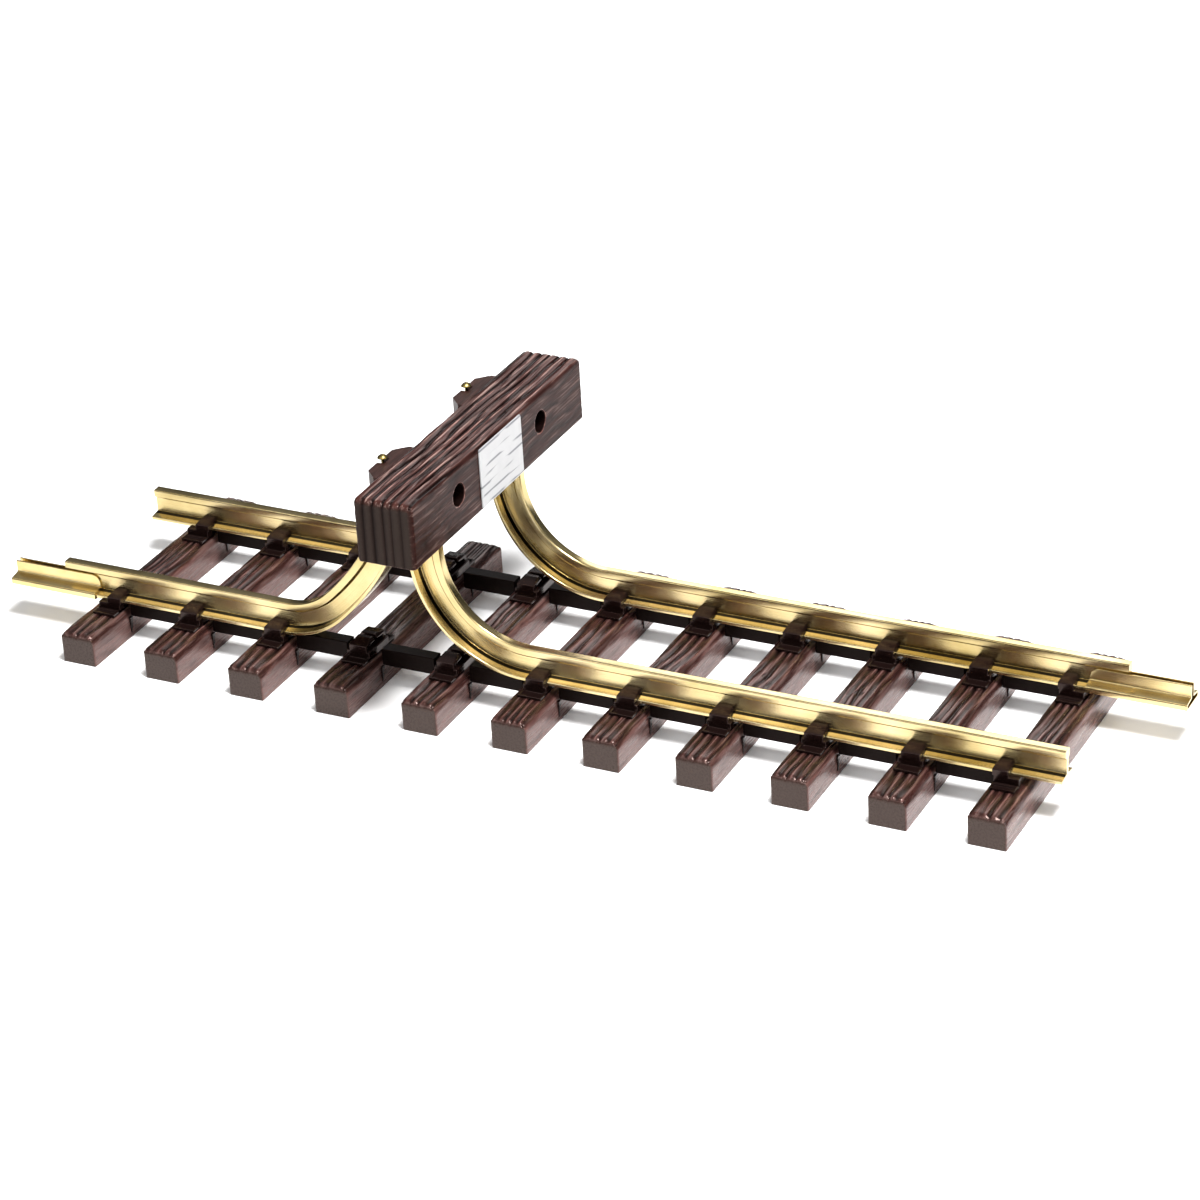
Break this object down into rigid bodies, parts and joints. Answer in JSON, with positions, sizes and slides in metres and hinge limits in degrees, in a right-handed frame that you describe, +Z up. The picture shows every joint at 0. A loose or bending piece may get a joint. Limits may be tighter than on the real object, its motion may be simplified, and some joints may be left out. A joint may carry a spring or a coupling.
{
  "type": "model railway buffer stop",
  "caption": "End-of-track buffer stop for a 45 mm garden model railway: bent brass rails on moulded sleepers carry a grained buffer beam with clamp blocks and a blank white plate.",
  "frame": {"origin": "on the resting plane, midway between the rail ends and midway between the rails", "axes": "+X along the track from the buffer beam towards the open end, +Y across the track, +Z up"},
  "size_m": [0.334, 0.1, 0.0706],
  "materials": {
    "sleeper_plastic": "dark brown moulded wood grain, slight gloss on the ridges",
    "beam_plastic": "dark brown moulded wood grain",
    "rail_brass": "bright drawn brass",
    "screw_brass": "turned brass, slightly dull",
    "label_white": "printed white plate, left blank"
  },
  "bodies": {
    "root": {"sleeper_01": "sleeper_plastic", "sleeper_02": "sleeper_plastic", "sleeper_03": "sleeper_plastic", "sleeper_04": "sleeper_plastic", "sleeper_05": "sleeper_plastic", "sleeper_06": "sleeper_plastic", "sleeper_07": "sleeper_plastic", "sleeper_08": "sleeper_plastic", "sleeper_09": "sleeper_plastic", "sleeper_10": "sleeper_plastic", "sleeper_11": "sleeper_plastic", "stringer_near": "sleeper_plastic", "stringer_far": "sleeper_plastic", "chairs_near": "sleeper_plastic", "chairs_far": "sleeper_plastic", "beam": "beam_plastic", "clamp_near": "beam_plastic", "clamp_far": "beam_plastic", "rail_front_near": "rail_brass", "rail_front_far": "rail_brass", "rail_rear_near": "rail_brass", "rail_rear_far": "rail_brass", "joiner_rear_near": "rail_brass", "joiner_front_far": "rail_brass", "pin_near": "rail_brass", "pin_far": "rail_brass", "screw_near": "screw_brass", "screw_far": "screw_brass", "label": "label_white"}
  },
  "joints": []
}
